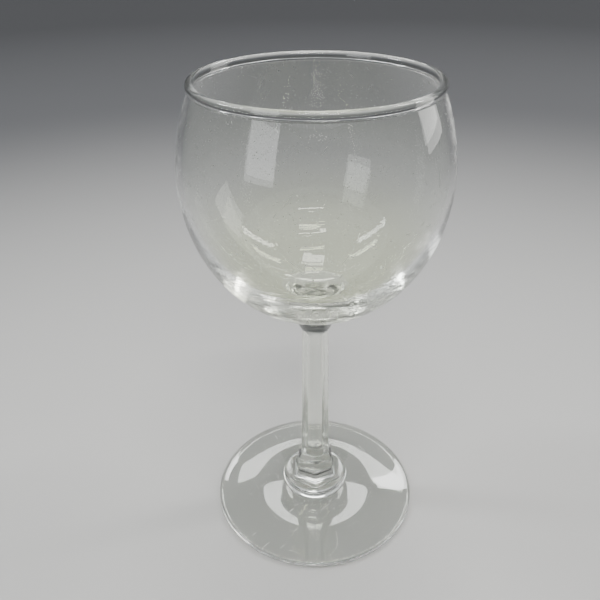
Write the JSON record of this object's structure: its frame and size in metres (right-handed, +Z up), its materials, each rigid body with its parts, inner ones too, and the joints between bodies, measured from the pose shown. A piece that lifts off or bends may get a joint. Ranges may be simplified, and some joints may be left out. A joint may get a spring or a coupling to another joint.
{
  "type": "stemmed wine glass",
  "caption": "Clear balloon wine glass with a beaded rim, a thick-floored bowl, a six-sided stem with a stepped collar and round knop, and a flat round foot.",
  "frame": {"origin": "on the surface that the glass stands on, on the axis of the stem", "axes": "+Z up along the axis, towards the rim; one edge of the six-sided stem points towards -Y"},
  "size_m": [0.0794, 0.0794, 0.155],
  "materials": {
    "thick_glass": "pressed clear soda-lime glass with a faint yellow-green tint, fire polished, lightly scuffed by washing",
    "bowl_glass": "blown clear soda-lime glass, smooth, with faint mould ripples low down and fine scratches",
    "rim_glass": "fire-finished bead, fully rounded and glossy"
  },
  "bodies": {
    "root": {"foot": "thick_glass", "knop": "thick_glass", "collar": "thick_glass", "stem": "thick_glass", "bowl": "bowl_glass", "rim_bead": "rim_glass"}
  },
  "joints": []
}
